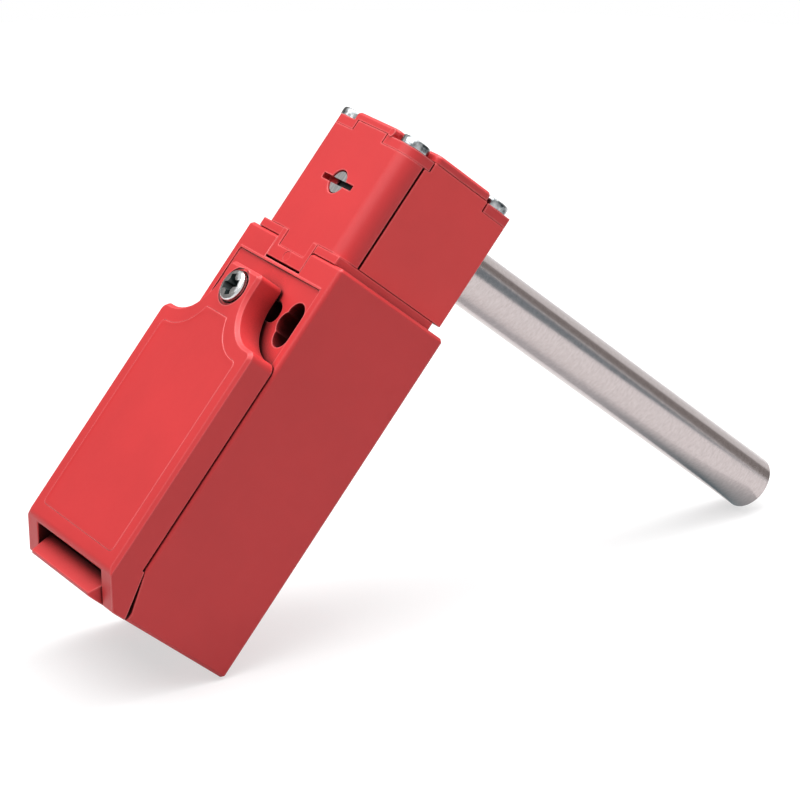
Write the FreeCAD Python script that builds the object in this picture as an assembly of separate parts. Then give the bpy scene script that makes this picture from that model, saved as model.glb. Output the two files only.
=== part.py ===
import FreeCAD, Part
import math
import os

# Safety hinge switch, in millimetres. Seen from the front, X runs right, Y back and Z up.
# The origin is midway between the two mounting holes, on the rear face of the body.

# Body
body_width = 31.0
body_height = 66.2
body_depth = 24.9
body_edge = 0.8
body_rim = 0.5
side_wall = 2.2
rear_wall = 2.6
chamber_corner = 1.5
chamber_drop = 21.7
conduit_bore = 18.5
conduit_depth = 12.0

# Mounting holes: round holes, each with an oblong recess in front for the other spacing
mount_drop = 12.2
mount_spacing = 20.0
mount_hole = 4.3
slot_spacing = 22.0
slot_length = 8.3
slot_depth = 10.0
pad_width = 27.2
pad_drop = 4.7
pad_depth = 0.3
pad_corner = 0.6
pad_lap = 0.2

# Lug at the foot of the body, and the cover's two foot corners that hook under the body beside it
lug_width = 23.0
lug_height = 4.4
lug_depth = 3.6
lug_root = 1.5
lug_toe = 0.4
lug_end = 0.9
hook_height = 8.2
hook_depth = 1.9
hook_toe = 0.5
hook_root = 0.1
hook_gap = 0.5

# Front cover
cover_depth = 5.5
cover_seam = 0.25
cover_wall = 2.0
cover_edge = 0.6
shoulder_drop = 19.1
shoulder_radius = 1.6
scallop_radius = 8.0
tongue_width = 10.0
tongue_drop = 7.7
tongue_corner = 0.9
bevel_height = 5.5
bevel_depth = 4.7
window_gap = 0.4
window_height = 4.8
cover_floor = 10.2
panel_inset = 2.8
panel_depth = 0.15
panel_foot = 8.0
panel_peak_drop = 16.45
panel_neck = 5.6
panel_scallop = 8.8
panel_corner = 1.0
rib_spacing = 11.4
rib_thickness = 1.2
rib_length = 20.0

# Cover gasket and cover screw
gasket_inset = 0.6
gasket_width = 0.9
gasket_height = 1.0
gasket_foot = 8.6
gasket_corner = 1.0
cover_screw_drop = 11.5
cover_screw_head = 5.6
cover_screw_height = 1.5
cover_screw_shank = 3.8
cover_screw_length = 11.0
screw_pocket = 7.0
screw_pocket_depth = 0.7
boss_diameter = 6.6
relief_length = 13.9
relief_height = 3.7
relief_depth = 3.0

# Head
head_width = 25.4
head_setback = 0.2
head_wall = 2.0
head_rear_wall = 3.8
head_floor = 2.0
head_wall_height = 21.45
head_corner = 0.4
cap_depth = 4.2
cap_wall = 2.0
cap_corner = 3.4
cap_seam = 0.45
column_width = 5.8
cap_rise_width = 9.2
cap_tab_width = 8.3
cap_tab_depth = 1.0
cap_tab_drop = 3.0
post_depth = 1.4
rise_length = 12.8
rise_gap = 0.3
ear_depth = 1.8
lid_rise = 1.5
seat_drop = 0.1
lid_arm = 13.3
lid_corner = 1.2
lid_edge = 0.4
head_screw_side_inset = 3.0
head_screw_end_inset = 2.6
head_screw_head = 5.2
head_screw_height = 1.6
head_screw_shank = 2.6
head_screw_length = 10.0

# Adapter plate, neck and latch between head and body
adapter_thickness = 1.55
adapter_rear_gap = 1.8
adapter_tongue_width = 11.2
adapter_tongue_drop = 3.8
adapter_tongue_depth = 1.9
latch_slot_height = 0.8
latch_thickness = 0.7
latch_length = 4.6
latch_recess = 2.4
neck_size = 15.0
neck_depth = 6.4
head_gasket_height = 1.0

# Shaft, bush and seal
axis_rise = 10.75
shaft_diameter = 10.0
shaft_length = 86.0
shaft_chamfer = 0.5
shaft_shoulder = 0.1
journal = 8.0
stub_opening = 4.4
stub_recess = 0.25
stub_slot = 1.0
stub_slot_depth = 1.3
face_slot_length = 9.5
face_slot_depth = 1.6
bush_wall = 1.5
bush_length = 7.0
bush_boss_wall = 2.0
shaft_seal_length = 1.5

# Cam and plunger
cam_width = 7.1
cam_travel = 3.0
cam_arcs = 6
shaft_turn = math.pi
cam_pin_diameter = 2.5
cam_pin_length = 8.5
cam_pin_depth = 2.5
plunger_diameter = 6.0
collar_diameter = 8.4
collar_height = 1.4
stem_size = 4.4
spring_well = 9.4
spring_wire = 0.8
spring_mean = 7.4
spring_height = 8.0
spring_turns = 4
coil_runs = 8

# Contact block
block_depth = 15.4
block_floor = 1.3
first_pole_drop = 5.2
pole_pitch = 8.2
last_pole_rise = 4.6
plate_width = 9.2
plate_thickness = 1.6
carrier_width = 6.6
carrier_depth = 7.5
carrier_foot = 1.3
carrier_window = 4.1
bridge_length = 14.6
bridge_width = 3.5
bridge_thickness = 0.7
contact_spacing = 11.8
contact_size = 2.4
contact_thickness = 0.6
contact_spring_height = 2.6
contact_spring_mean = 2.4
contact_spring_wire = 0.45
contact_spring_turns = 3

# Terminals
strip = 0.8
leg_offset = 2.8
leg_start = 4.6
leg_width = 3.9
leg_inset = 0.2
terminal_width = 4.8
terminal_height = 6.4
terminal_screw_shank = 3.2
terminal_screw_head = 5.6
terminal_screw_height = 2.2
terminal_screw_length = 4.9
terminal_pocket = 4.2
clamp_size = 6.0
clamp_thickness = 1.0
screw_flats = 8

# Clearances
seat_gap = 0.05
running_gap = 0.03
contact_gap = 0.02
cam_gap = 0.05
guide_gap = 0.1
end_gap = 0.1
slide_gap = 0.15
well_gap = 0.2
cam_room = 0.25
room = 0.5
overcut = 1.0
same_place = 1e-6

# Planes and places that several pieces share
foot = mount_drop - body_height
body_top = mount_drop
half_width = body_width / 2
body_front = -body_depth
centre_y = -body_depth / 2
chamber_half = half_width - side_wall
chamber_top = body_top - chamber_drop
chamber_floor = foot + conduit_depth
cover_front = body_front - cover_depth
cover_rear = body_front - cover_seam
shoulder = body_top - shoulder_drop
tongue_top = body_top - tongue_drop
window_half = lug_width / 2 + window_gap
cover_screw_z = body_top - cover_screw_drop
cover_screw_seat = cover_front + screw_pocket_depth
latch_foot = body_top - adapter_tongue_drop - latch_slot_height
neck_foot = body_top - neck_depth
well_floor = neck_foot - head_gasket_height
head_front = body_front + head_setback
head_rear = -head_setback
head_half = head_width / 2
head_foot = body_top + adapter_thickness
head_seam = head_foot + head_wall_height
head_inside = head_rear - head_rear_wall
floor_top = head_foot + head_floor
ear_foot = head_seam - ear_depth
lid_seat = head_seam - seat_drop
lid_top = head_seam + lid_rise
cap_rear = head_front + cap_depth
wall_rear = head_front + cap_wall
axis_z = head_foot + axis_rise
cam_rate = cam_travel / shaft_turn
cam_base = axis_rise - head_floor - cam_room - cam_travel
cam_front = centre_y - cam_width / 2
cam_rear = centre_y + cam_width / 2
bush_front = cam_rear + end_gap
bush_outer = journal + 2 * bush_wall
plunger_top = axis_z - cam_base - cam_gap
collar_top = well_floor - room
spring_foot = collar_top - collar_height - spring_height
carrier_top = chamber_top - room
block_rear = -rear_wall
block_front = block_rear - block_depth
block_foot = chamber_top - first_pole_drop - 2 * pole_pitch - last_pole_rise
plate_front = block_front - strip
terminal_x = chamber_half - room - clamp_size / 2
screw_x = head_half - head_screw_side_inset
screw_front = head_front + head_screw_end_inset
screw_rear = head_rear - head_screw_end_inset


def box(x0, x1, y0, y1, z0, z1):
    return Part.makeBox(x1 - x0, y1 - y0, z1 - z0, FreeCAD.Vector(x0, y0, z0))


def rod_x(diameter, y, z, x0, x1):
    return Part.makeCylinder(diameter / 2, x1 - x0, FreeCAD.Vector(x0, y, z), FreeCAD.Vector(1, 0, 0))


def rod_y(diameter, x, z, y0, y1):
    return Part.makeCylinder(diameter / 2, y1 - y0, FreeCAD.Vector(x, y0, z), FreeCAD.Vector(0, 1, 0))


def rod_z(diameter, x, y, z0, z1):
    return Part.makeCylinder(diameter / 2, z1 - z0, FreeCAD.Vector(x, y, z0), FreeCAD.Vector(0, 0, 1))


def rectangle(u0, u1, v0, v1, radius):
    return [(u0, v0, radius), (u1, v0, radius), (u1, v1, radius), (u0, v1, radius)]


def outline(corners, place):
    """Closed wire round (u, v, radius) corners, with a tangent arc at each corner that has a radius."""
    points = [FreeCAD.Vector(u, v, 0) for u, v, radius in corners]
    arcs = []
    for index, (u, v, radius) in enumerate(corners):
        here = points[index]
        back = (points[index - 1] - here).normalize()
        ahead = (points[(index + 1) % len(points)] - here).normalize()
        half = back.getAngle(ahead) / 2
        reach = radius / math.tan(half)
        inward = (back + ahead).normalize() * (radius / math.sin(half) - radius)
        arcs.append((here + back * reach, here + inward, here + ahead * reach, radius))
    edges = []
    for index, (start, middle, end, radius) in enumerate(arcs):
        following = arcs[(index + 1) % len(arcs)][0]
        if radius > 0:
            edges.append(Part.Arc(place(start), place(middle), place(end)).toShape())
        if not following.isEqual(end, same_place):
            edges.append(Part.LineSegment(place(end), place(following)).toShape())
    return Part.Wire(edges)


def slab_x(corners, x0, x1):
    """Solid from x0 to x1 on an outline of (y, z, radius) corners."""
    wire = outline(corners, lambda point: FreeCAD.Vector(x0, point.x, point.y))
    return Part.Face(wire).extrude(FreeCAD.Vector(x1 - x0, 0, 0))


def slab_y(corners, y0, y1):
    """Solid from y0 to y1 on an outline of (x, z, radius) corners."""
    wire = outline(corners, lambda point: FreeCAD.Vector(point.x, y0, point.y))
    return Part.Face(wire).extrude(FreeCAD.Vector(0, y1 - y0, 0))


def slab_z(corners, z0, z1):
    """Solid from z0 to z1 on an outline of (x, y, radius) corners."""
    wire = outline(corners, lambda point: FreeCAD.Vector(point.x, point.y, z0))
    return Part.Face(wire).extrude(FreeCAD.Vector(0, 0, z1 - z0))


def mirrored(shape):
    return shape.mirror(FreeCAD.Vector(0, 0, 0), FreeCAD.Vector(1, 0, 0))


def both_sides(shape):
    return Part.makeCompound([shape, mirrored(shape)])


def flat_box(half, deep, z0, z1):
    """Box centred on the plunger's axis, between two heights in either order."""
    return box(-half, half, centre_y - deep, centre_y + deep, min(z0, z1), max(z0, z1))


def square_bar(size, z0, z1):
    return flat_box(size / 2, size / 2, z0, z1)


def moved(shape, x, y, z):
    placed = shape.copy()
    placed.translate(FreeCAD.Vector(x, y, z))
    return placed


def facing_front(shape, x, y, z):
    """Turns a shape made along Z so that its top points to the front, with its origin at x, y, z."""
    placed = shape.copy()
    quarter_turn = FreeCAD.Rotation(FreeCAD.Vector(1, 0, 0), 90)
    placed.Placement = FreeCAD.Placement(FreeCAD.Vector(x, y, z), quarter_turn)
    return placed


def stud(diameter, z0, z1):
    """Screw shank or its hole along Z, with flats in place of the thread."""
    turn = 2 * math.pi / screw_flats
    reach = diameter / 2 / math.cos(turn / 2)
    angles = [(step + 0.5) * turn for step in range(screw_flats)]
    corners = [FreeCAD.Vector(reach * math.cos(a), reach * math.sin(a), z0) for a in angles]
    return Part.Face(Part.makePolygon(corners + corners[:1])).extrude(FreeCAD.Vector(0, 0, z1 - z0))


def pan_screw(head, height, shank, length):
    """Pan-head screw along Z: the head stands on z = 0 and the shank hangs below it."""
    return rod_z(head, 0, 0, 0, height).fuse(stud(shank, -length, 0))


def facet(points):
    return Part.Face(Part.makePolygon(points + points[:1]))


def coil(mean, wire, z0, z1, turns):
    """Spring of square wire about the plunger's axis, with straight runs between its sections."""
    steps = turns * coil_runs
    sections = []
    for step in range(steps + 1):
        angle = 2 * math.pi * step / coil_runs
        low = z0 + (z1 - z0 - wire) * step / steps
        section = []
        for radius, z, corner in rectangle((mean - wire) / 2, (mean + wire) / 2, low, low + wire, 0):
            section.append(FreeCAD.Vector(radius * math.cos(angle), centre_y + radius * math.sin(angle), z))
        sections.append(section)
    facets = [facet(sections[0]), facet(sections[-1])]
    for here, following in zip(sections, sections[1:]):
        for corner in range(len(here)):
            facets.append(facet([here[corner - 1], here[corner], following[corner]]))
            facets.append(facet([here[corner - 1], following[corner], following[corner - 1]]))
    return Part.Solid(Part.Shell(facets))


def flush(low, high, plane):
    return abs(low - plane) + abs(high - plane) < same_place


def edges_at_y(shape, plane):
    return [edge for edge in shape.Edges if flush(edge.BoundBox.YMin, edge.BoundBox.YMax, plane)]


def edges_at_z(shape, plane):
    return [edge for edge in shape.Edges if flush(edge.BoundBox.ZMin, edge.BoundBox.ZMax, plane)]


# Housing
def hook_profile(gap):
    """Side view of the cover's foot corner, which reaches back under the body, grown by gap."""
    toe = body_front + hook_depth + gap
    top = foot + hook_height + gap
    return [
        (body_front - overcut, foot - overcut, 0),
        (body_front - overcut, top, 0),
        (body_front + hook_root, top, 0),
        (toe, foot + hook_toe + 2 * gap, 0),
        (toe, foot - overcut, 0),
    ]


def make_housing():
    block = slab_z(rectangle(-half_width, half_width, body_front, 0, body_edge), foot, body_top)
    block = block.makeChamfer(body_rim, edges_at_z(block, foot) + edges_at_z(block, body_top))
    nose = body_front - lug_depth
    lug_half = lug_width / 2
    lug = [
        (body_front + overcut, foot, 0),
        (nose + lug_toe, foot, 0),
        (nose, foot + lug_toe, 0),
        (body_front - lug_root, foot + lug_height, 0),
        (body_front + overcut, foot + lug_height, 0),
    ]
    lug_plan = [
        (-lug_half, body_front + overcut, 0),
        (lug_half, body_front + overcut, 0),
        (lug_half, body_front - lug_root, 0),
        (lug_half - lug_end, nose, 0),
        (lug_end - lug_half, nose, 0),
        (-lug_half, body_front - lug_root, 0),
    ]
    block = block.fuse(slab_x(lug, -lug_half, lug_half).common(slab_z(lug_plan, foot, foot + lug_height)))
    front = body_front - overcut
    chamber = rectangle(-chamber_half, chamber_half, chamber_floor, chamber_top, chamber_corner)
    pad = rectangle(-pad_width / 2, pad_width / 2, shoulder - pad_lap, body_top - pad_drop, pad_corner)
    pad_floor = body_front + pad_depth
    tongue = adapter_tongue_width / 2 + seat_gap
    tongue_rear = body_front + adapter_tongue_depth + seat_gap
    latch_head = latch_foot + latch_slot_height
    slot_x = slot_spacing / 2
    slot_half = mount_hole / 2
    slot_end = slot_length / 2
    slot = rectangle(slot_x - slot_half, slot_x + slot_half, -slot_end, slot_end, slot_half - contact_gap)
    relief_half = relief_height / 2
    relief = rectangle(-relief_length / 2, relief_length / 2, cover_screw_z - relief_half,
                       cover_screw_z + relief_half, relief_half - contact_gap)
    relief = slab_y(relief, front, body_front + relief_depth)
    thread = stud(cover_screw_shank + 2 * seat_gap, -cover_screw_length - seat_gap, 0)
    cuts = [
        slab_y(chamber, front, -rear_wall),
        rod_z(conduit_bore, 0, centre_y, foot - overcut, chamber_floor + overcut),
        both_sides(slab_x(hook_profile(hook_gap), window_half, half_width + overcut)),
        slab_y(pad, front, pad_floor),
        box(-tongue, tongue, front, tongue_rear, latch_foot, body_top + overcut),
        box(-tongue, tongue, front, centre_y, latch_foot, latch_head),
        square_bar(neck_size + 2 * well_gap, well_floor, body_top + overcut),
        rod_z(spring_well, 0, centre_y, spring_foot, well_floor + overcut),
        square_bar(stem_size + 2 * slide_gap, chamber_top - overcut, spring_foot + overcut),
        relief.cut(rod_y(boss_diameter, 0, cover_screw_z, pad_floor, 0)),
        facing_front(thread, 0, cover_screw_seat, cover_screw_z),
        both_sides(rod_y(mount_hole, mount_spacing / 2, 0, front, overcut)),
        both_sides(slab_y(slot, front, body_front + slot_depth)),
    ]
    return block.cut(cuts)


# Front cover
def cover_outline():
    neck = tongue_width / 2
    return [
        (-half_width, foot, 0),
        (half_width, foot, 0),
        (half_width, shoulder, shoulder_radius),
        (neck, shoulder, scallop_radius),
        (neck, tongue_top, tongue_corner),
        (-neck, tongue_top, tongue_corner),
        (-neck, shoulder, scallop_radius),
        (-half_width, shoulder, shoulder_radius),
    ]


def make_panel():
    """Shallow recess in the cover's front, with scalloped shoulders and a flat peak."""
    side = half_width - panel_inset
    neck = panel_neck / 2
    base = foot + panel_foot
    top = shoulder - panel_inset
    high = top + panel_scallop + overcut
    corners = [
        (-side, base, panel_corner),
        (side, base, panel_corner),
        (side, top, panel_corner),
        (neck, top, panel_scallop),
        (neck, high, 0),
        (-neck, high, 0),
        (-neck, top, panel_scallop),
        (-side, top, panel_corner),
    ]
    panel = slab_y(corners, cover_front - overcut, cover_front + panel_depth)
    peak = body_top - panel_peak_drop
    return panel.common(box(-half_width, half_width, cover_front - overcut, body_front, foot, peak))


def make_front_cover():
    shell = slab_y(cover_outline(), cover_front, cover_rear)
    front = cover_front - overcut
    bevel = [
        (front, foot - overcut, 0),
        (front, foot + bevel_height, 0),
        (cover_front, foot + bevel_height, 0),
        (cover_front + bevel_depth, foot, 0),
        (cover_front + bevel_depth, foot - overcut, 0),
    ]
    shell = shell.cut(slab_x(bevel, -half_width - overcut, half_width + overcut))
    shell = shell.makeChamfer(cover_edge, edges_at_y(shell, cover_front))
    hook = slab_x(hook_profile(0), window_half, half_width)
    hook = hook.common(box(0, half_width, cover_rear, 0, foot, body_top))
    inner_half = half_width - cover_wall
    inner = rectangle(-inner_half, inner_half, foot + cover_floor, shoulder - cover_wall, chamber_corner)
    inner_front = cover_front + cover_wall
    screw_hole = stud(cover_screw_shank + 2 * guide_gap, -cover_depth, overcut)
    cuts = [
        slab_y(inner, inner_front, cover_rear + overcut),
        box(-window_half, window_half, front, overcut, foot - overcut, foot + window_height),
        make_panel(),
        gasket_ring(seat_gap),
        rod_y(screw_pocket, 0, cover_screw_z, front, cover_screw_seat),
        facing_front(screw_hole, 0, cover_screw_seat, cover_screw_z),
    ]
    shell = shell.fuse([hook, mirrored(hook)]).cut(cuts)
    middle = (chamber_top + block_foot) / 2
    rib_x = (rib_spacing - rib_thickness) / 2
    rib = box(rib_x, rib_x + rib_thickness, inner_front, block_front,
              middle - rib_length / 2, middle + rib_length / 2)
    return shell.fuse([rib, mirrored(rib)])


def gasket_ring(grow):
    """Rubber ring in the rim of the cover, or its groove when grown."""
    side = half_width - gasket_inset + grow
    base = foot + gasket_foot - grow
    top = shoulder - gasket_inset + grow
    width = gasket_width + 2 * grow
    outer = rectangle(-side, side, base, top, gasket_corner)
    inner = rectangle(-side + width, side - width, base + width, top - width, 0)
    front = body_front - gasket_height - grow
    return slab_y(outer, front, body_front).cut(slab_y(inner, front - overcut, body_front + overcut))


def make_cover_screw():
    screw = pan_screw(cover_screw_head, cover_screw_height, cover_screw_shank, cover_screw_length)
    return facing_front(screw, 0, cover_screw_seat, cover_screw_z)


# Adapter plate, latch and gasket between head and body
def make_head_adapter():
    plate = box(-head_half, head_half, head_front, head_rear - adapter_rear_gap, body_top, head_foot)
    half = adapter_tongue_width / 2
    tongue_rear = body_front + adapter_tongue_depth
    tongue = box(-half, half, body_front, tongue_rear, body_top - adapter_tongue_drop, head_foot)
    tab = cap_tab_width / 2 + seat_gap
    tab_rear = head_front + cap_tab_depth + seat_gap
    cuts = [
        box(-tab, tab, body_front - overcut, tab_rear, head_foot - cap_tab_drop, head_foot + overcut),
        square_bar(neck_size + 2 * well_gap, body_top - overcut, head_foot + overcut),
    ]
    return plate.fuse(tongue).cut(cuts)


def make_head_latch():
    half = adapter_tongue_width / 2
    front = body_front + latch_recess
    return box(-half, half, front, front + latch_length, latch_foot, latch_foot + latch_thickness)


def make_head_gasket():
    """Rubber pad under the neck, which also wipes the plunger."""
    hole = rod_z(plunger_diameter + 2 * guide_gap, 0, centre_y, well_floor - overcut, neck_foot + overcut)
    return square_bar(neck_size, well_floor, neck_foot).cut(hole)


# Head
def head_screw_holes(y, gap, z0, z1):
    hole = stud(head_screw_shank + 2 * gap, z0, z1)
    return both_sides(moved(hole, screw_x, y, 0))


def make_head_housing():
    seam = cap_rear + cap_seam
    corners = [
        (-head_half, seam, 0),
        (head_half, seam, 0),
        (head_half, head_rear, head_corner),
        (-head_half, head_rear, head_corner),
    ]
    shell = slab_z(corners, head_foot, head_seam)
    inner = head_half - head_wall
    above = head_seam + overcut
    shell = shell.cut(box(-inner, inner, seam - overcut, head_inside, floor_top, above))
    apron_half = head_half - column_width - seat_gap
    apron = box(-apron_half, apron_half, wall_rear + seat_gap, seam, head_foot, floor_top)
    post_inner = screw_x - head_screw_shank
    post = box(post_inner, inner, head_inside - post_depth, head_inside, floor_top, ear_foot)
    saddle_half = bush_outer / 2 + bush_boss_wall
    saddle = box(-saddle_half, saddle_half, bush_front, head_inside, floor_top, axis_z + saddle_half)
    column_room = box(apron_half, head_half, head_front, cap_rear + seat_gap, head_foot, ear_foot)
    neck = square_bar(neck_size, neck_foot, floor_top).cut(both_sides(column_room))
    shell = shell.fuse([apron, saddle, neck, post, mirrored(post)])
    rise = rise_length / 2
    latch_half = adapter_tongue_width / 2 + seat_gap
    latch_rear = body_front + latch_recess + latch_length + seat_gap
    side = head_half + overcut
    cuts = [
        both_sides(box(rise, side, centre_y + rise, head_rear + overcut, ear_foot, above)),
        both_sides(box(inner - overcut, side, seam - overcut, centre_y - rise, ear_foot, above)),
        rod_y(bush_outer + 2 * seat_gap, 0, axis_z, bush_front - overcut, head_rear + overcut),
        rod_z(plunger_diameter + 2 * guide_gap, 0, centre_y, neck_foot - overcut, floor_top + overcut),
        box(-latch_half, latch_half, body_front, latch_rear, latch_foot, latch_foot + latch_slot_height),
        head_screw_holes(screw_rear, seat_gap, ear_foot - head_screw_length, above),
    ]
    return shell.cut(cuts)


def make_head_cap():
    inner = head_half - column_width
    corners = [
        (-head_half, head_front, cap_corner),
        (head_half, head_front, cap_corner),
        (head_half, cap_rear, 0),
        (inner, cap_rear, 0),
        (inner, wall_rear, 0),
        (-inner, wall_rear, 0),
        (-inner, cap_rear, 0),
        (-head_half, cap_rear, 0),
    ]
    shell = slab_z(corners, head_foot, ear_foot)
    rise_half = cap_rise_width / 2
    tab_half = cap_tab_width / 2
    rise = box(-rise_half, rise_half, head_front, wall_rear, ear_foot, head_seam)
    tab_rear = head_front + cap_tab_depth
    tab = box(-tab_half, tab_half, head_front, tab_rear, head_foot - cap_tab_drop, head_foot)
    half_slot = face_slot_length / 2
    slot_rear = head_front + face_slot_depth
    front = head_front - overcut
    cuts = [
        rod_y(stub_opening, 0, axis_z, front, wall_rear + overcut),
        box(-half_slot, half_slot, front, slot_rear, axis_z - stub_slot / 2, axis_z + stub_slot / 2),
        head_screw_holes(screw_front, seat_gap, ear_foot - head_screw_length, head_seam),
    ]
    return shell.fuse([rise, tab]).cut(cuts)


def make_head_lid():
    plate = [
        (-head_half, head_front, cap_corner),
        (head_half, head_front, cap_corner),
        (head_half, head_rear, head_corner),
        (-head_half, head_rear, head_corner),
    ]
    arm = lid_arm / 2
    cross = [
        (-arm, head_front, lid_corner),
        (arm, head_front, lid_corner),
        (arm, centre_y - arm, 0),
        (head_half, centre_y - arm, lid_corner),
        (head_half, centre_y + arm, lid_corner),
        (arm, centre_y + arm, 0),
        (arm, head_rear, lid_corner),
        (-arm, head_rear, lid_corner),
        (-arm, centre_y + arm, 0),
        (-head_half, centre_y + arm, lid_corner),
        (-head_half, centre_y - arm, lid_corner),
        (-arm, centre_y - arm, 0),
    ]
    plateau = slab_z(cross, lid_seat, lid_top)
    plateau = plateau.makeChamfer(lid_edge, edges_at_z(plateau, lid_top))
    lid = slab_z(plate, ear_foot, lid_seat).fuse(plateau)
    wall = head_half - head_wall - seat_gap
    rise = rise_length / 2 + rise_gap
    front = cap_rise_width / 2 + rise_gap
    below = ear_foot - overcut
    clear = head_seam + seat_gap
    cuts = [
        both_sides(box(wall, head_half + overcut, centre_y - rise, centre_y + rise, below, clear)),
        box(-front, front, head_front - overcut, wall_rear + seat_gap, below, clear),
        box(-rise, rise, head_inside - seat_gap, head_rear + overcut, below, clear),
        head_screw_holes(screw_front, guide_gap, below, lid_top),
        head_screw_holes(screw_rear, guide_gap, below, lid_top),
    ]
    return lid.cut(cuts)


def make_head_screws():
    length = head_screw_length + lid_seat - ear_foot - room
    screw = pan_screw(head_screw_head, head_screw_height, head_screw_shank, length)
    places = [(x, y) for x in (-screw_x, screw_x) for y in (screw_front, screw_rear)]
    return Part.makeCompound([moved(screw, x, y, lid_seat) for x, y in places])


# Shaft, with its bush and seal
def make_shaft():
    stub = stub_opening / 2 - running_gap
    stub_front = head_front + stub_recess
    stub_rear = wall_rear + end_gap
    main = shaft_diameter / 2
    profile = [
        (0, stub_front),
        (stub, stub_front),
        (stub, stub_rear),
        (journal / 2, stub_rear),
        (journal / 2, shaft_shoulder),
        (main, shaft_shoulder),
        (main, shaft_length - shaft_chamfer),
        (main - shaft_chamfer, shaft_length),
        (0, shaft_length),
    ]
    points = [FreeCAD.Vector(radius, y, axis_z) for radius, y in profile]
    face = Part.Face(Part.makePolygon(points + points[:1]))
    shaft = face.revolve(FreeCAD.Vector(0, 0, axis_z), FreeCAD.Vector(0, 1, 0), 360)
    slot = box(-stub_opening, stub_opening, head_front, stub_front + stub_slot_depth,
               axis_z - stub_slot / 2, axis_z + stub_slot / 2)
    return shaft.cut([slot, cam_pin_rod(cam_pin_diameter, seat_gap, journal)])


def journal_ring(y0, y1, gap):
    bore = rod_y(journal + 2 * gap, 0, axis_z, y0 - overcut, y1 + overcut)
    return rod_y(bush_outer, 0, axis_z, y0, y1).cut(bore)


def make_rear_bush():
    return journal_ring(bush_front, bush_front + bush_length, running_gap)


def make_shaft_seal():
    start = bush_front + bush_length
    return journal_ring(start, start + shaft_seal_length, seat_gap)


# Cam and its pin
def cam_point(angle):
    """Point of the cam that faces down once the shaft has turned by angle. An involute lifts evenly."""
    reach = cam_base + cam_rate * angle
    x = reach * math.sin(angle) + cam_rate * math.cos(angle)
    z = -reach * math.cos(angle) + cam_rate * math.sin(angle)
    return FreeCAD.Vector(x, cam_front, axis_z + z)


def make_cam():
    step = shaft_turn / cam_arcs
    edges = []
    for index in range(cam_arcs):
        points = [cam_point(step * (index + part)) for part in (0, 0.5, 1)]
        edges.append(Part.Arc(*points).toShape())
    start = cam_point(0)
    end = cam_point(shaft_turn)
    low = FreeCAD.Vector(end.x, cam_front, start.z)
    back = FreeCAD.Vector(end.x - (end.z - start.z) / 2, cam_front, (start.z + end.z) / 2)
    edges.append(Part.Arc(end, back, low).toShape())
    edges.append(Part.LineSegment(low, start).toShape())
    cam = Part.Face(Part.Wire(edges)).extrude(FreeCAD.Vector(0, cam_width, 0))
    bore = rod_y(journal + 2 * contact_gap, 0, axis_z, cam_front - overcut, cam_rear + overcut)
    return cam.cut([bore, cam_pin_rod(cam_pin_diameter, seat_gap, head_half)])


def cam_pin_rod(diameter, gap, end):
    """Pin that enters the cam from the right and ends past the shaft's axis, or its hole."""
    return rod_x(diameter, centre_y, axis_z, -cam_pin_depth - gap, end)


def make_cam_pin():
    return cam_pin_rod(cam_pin_diameter - 2 * contact_gap, 0, cam_pin_length - cam_pin_depth)


# Plunger and its spring
def make_plunger():
    rod = rod_z(plunger_diameter, 0, centre_y, collar_top, plunger_top)
    return rod.fuse(rod_z(collar_diameter, 0, centre_y, collar_top - collar_height, collar_top))


def make_return_spring():
    return coil(spring_mean, spring_wire, spring_foot, spring_foot + spring_height, spring_turns)


# Poles of the contact block from the top down: two normally closed and one normally open
def make_pole(index, name, side):
    """Heights of one pole, with its fixed contacts above the bridge where side is 1, else below it."""
    z = chamber_top - first_pole_drop - index * pole_pitch
    leg = z + side * leg_offset
    fixed = leg - side * (strip / 2 + contact_thickness)
    rest_gap = contact_gap if side > 0 else cam_travel + contact_gap
    face = fixed - side * rest_gap
    near = face - side * contact_thickness
    far = near - side * bridge_thickness
    spring_end = far - side * contact_spring_height
    return {"name": name, "side": side, "z": z, "leg": leg, "fixed": fixed,
            "face": face, "near": near, "far": far, "spring_end": spring_end}


pole_kinds = [("11_12", 1), ("21_22", 1), ("33_34", -1)]
poles = [make_pole(index, name, side) for index, (name, side) in enumerate(pole_kinds)]


def contact_tip(z0, z1):
    half = contact_size / 2
    x = contact_spacing / 2
    return box(x - half, x + half, centre_y - half, centre_y + half, min(z0, z1), max(z0, z1))


def leg_corners(grow):
    """Plan of a terminal's leg on the right side, from its contact to its clamp plate."""
    half = leg_width / 2 + grow
    inner = terminal_x - terminal_width / 2 + leg_inset - grow
    outer = terminal_x + terminal_width / 2 - leg_inset + grow
    start = leg_start - grow
    return [
        (start, centre_y + half, 0),
        (start, centre_y - half, 0),
        (inner, centre_y - half, 0),
        (inner, plate_front, 0),
        (outer, plate_front, 0),
        (outer, centre_y + half, 0),
    ]


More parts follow.
